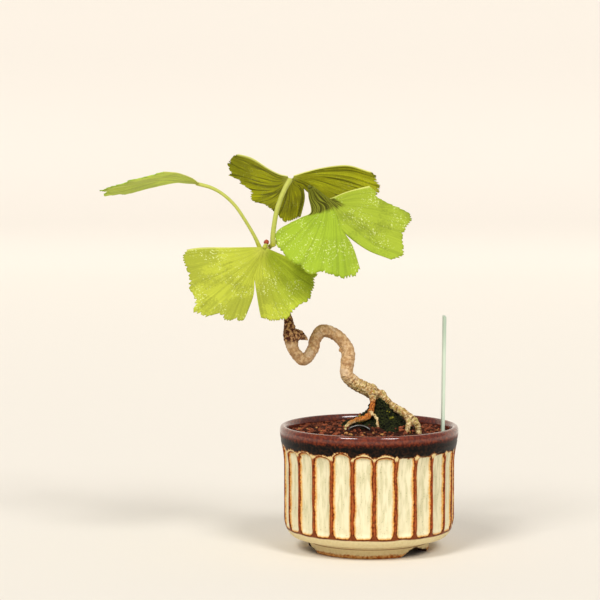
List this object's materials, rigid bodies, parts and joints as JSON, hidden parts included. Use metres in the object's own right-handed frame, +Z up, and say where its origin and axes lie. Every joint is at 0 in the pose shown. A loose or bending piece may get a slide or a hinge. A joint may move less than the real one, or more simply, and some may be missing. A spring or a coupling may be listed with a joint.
{
  "type": "ginkgo bonsai",
  "caption": "Young ginkgo bonsai with a bent trunk, surface roots and broad fan leaves, planted in a small round fluted glazed pot",
  "frame": {"origin": "middle of the bounding box seen from above, at the table; the pot's axis is 38 mm to the right of it", "axes": "+X to the right of the picture, +Y away from the camera, +Z up"},
  "size_m": [0.1503, 0.075, 0.1659],
  "materials": {
    "cream_glaze": "speckled cream glaze, rust-brown where it thins on the ridges, red-brown and black at the lip",
    "red_brown_soil": "red-brown grit with dark moss round the roots",
    "tan_bark": "tan wrinkled bark, dark brown on the knot and the twig",
    "red_brown_bud": "red-brown, slightly waxy",
    "leaf_green": "pale yellow-green, waxy, fine veins",
    "dull_wire": "dull wire",
    "mint_white_plastic": "pale, matt",
    "black_plastic": "black"
  },
  "bodies": {
    "root": {"pot": "cream_glaze", "soil": "red_brown_soil", "trunk": "tan_bark", "terminal_bud": "red_brown_bud", "leaf_left": "leaf_green", "leaf_top": "leaf_green", "leaf_right": "leaf_green", "leaf_front": "leaf_green", "wire_loop": "dull_wire", "label_stake": "mint_white_plastic", "drain_mesh": "black_plastic"}
  },
  "joints": []
}
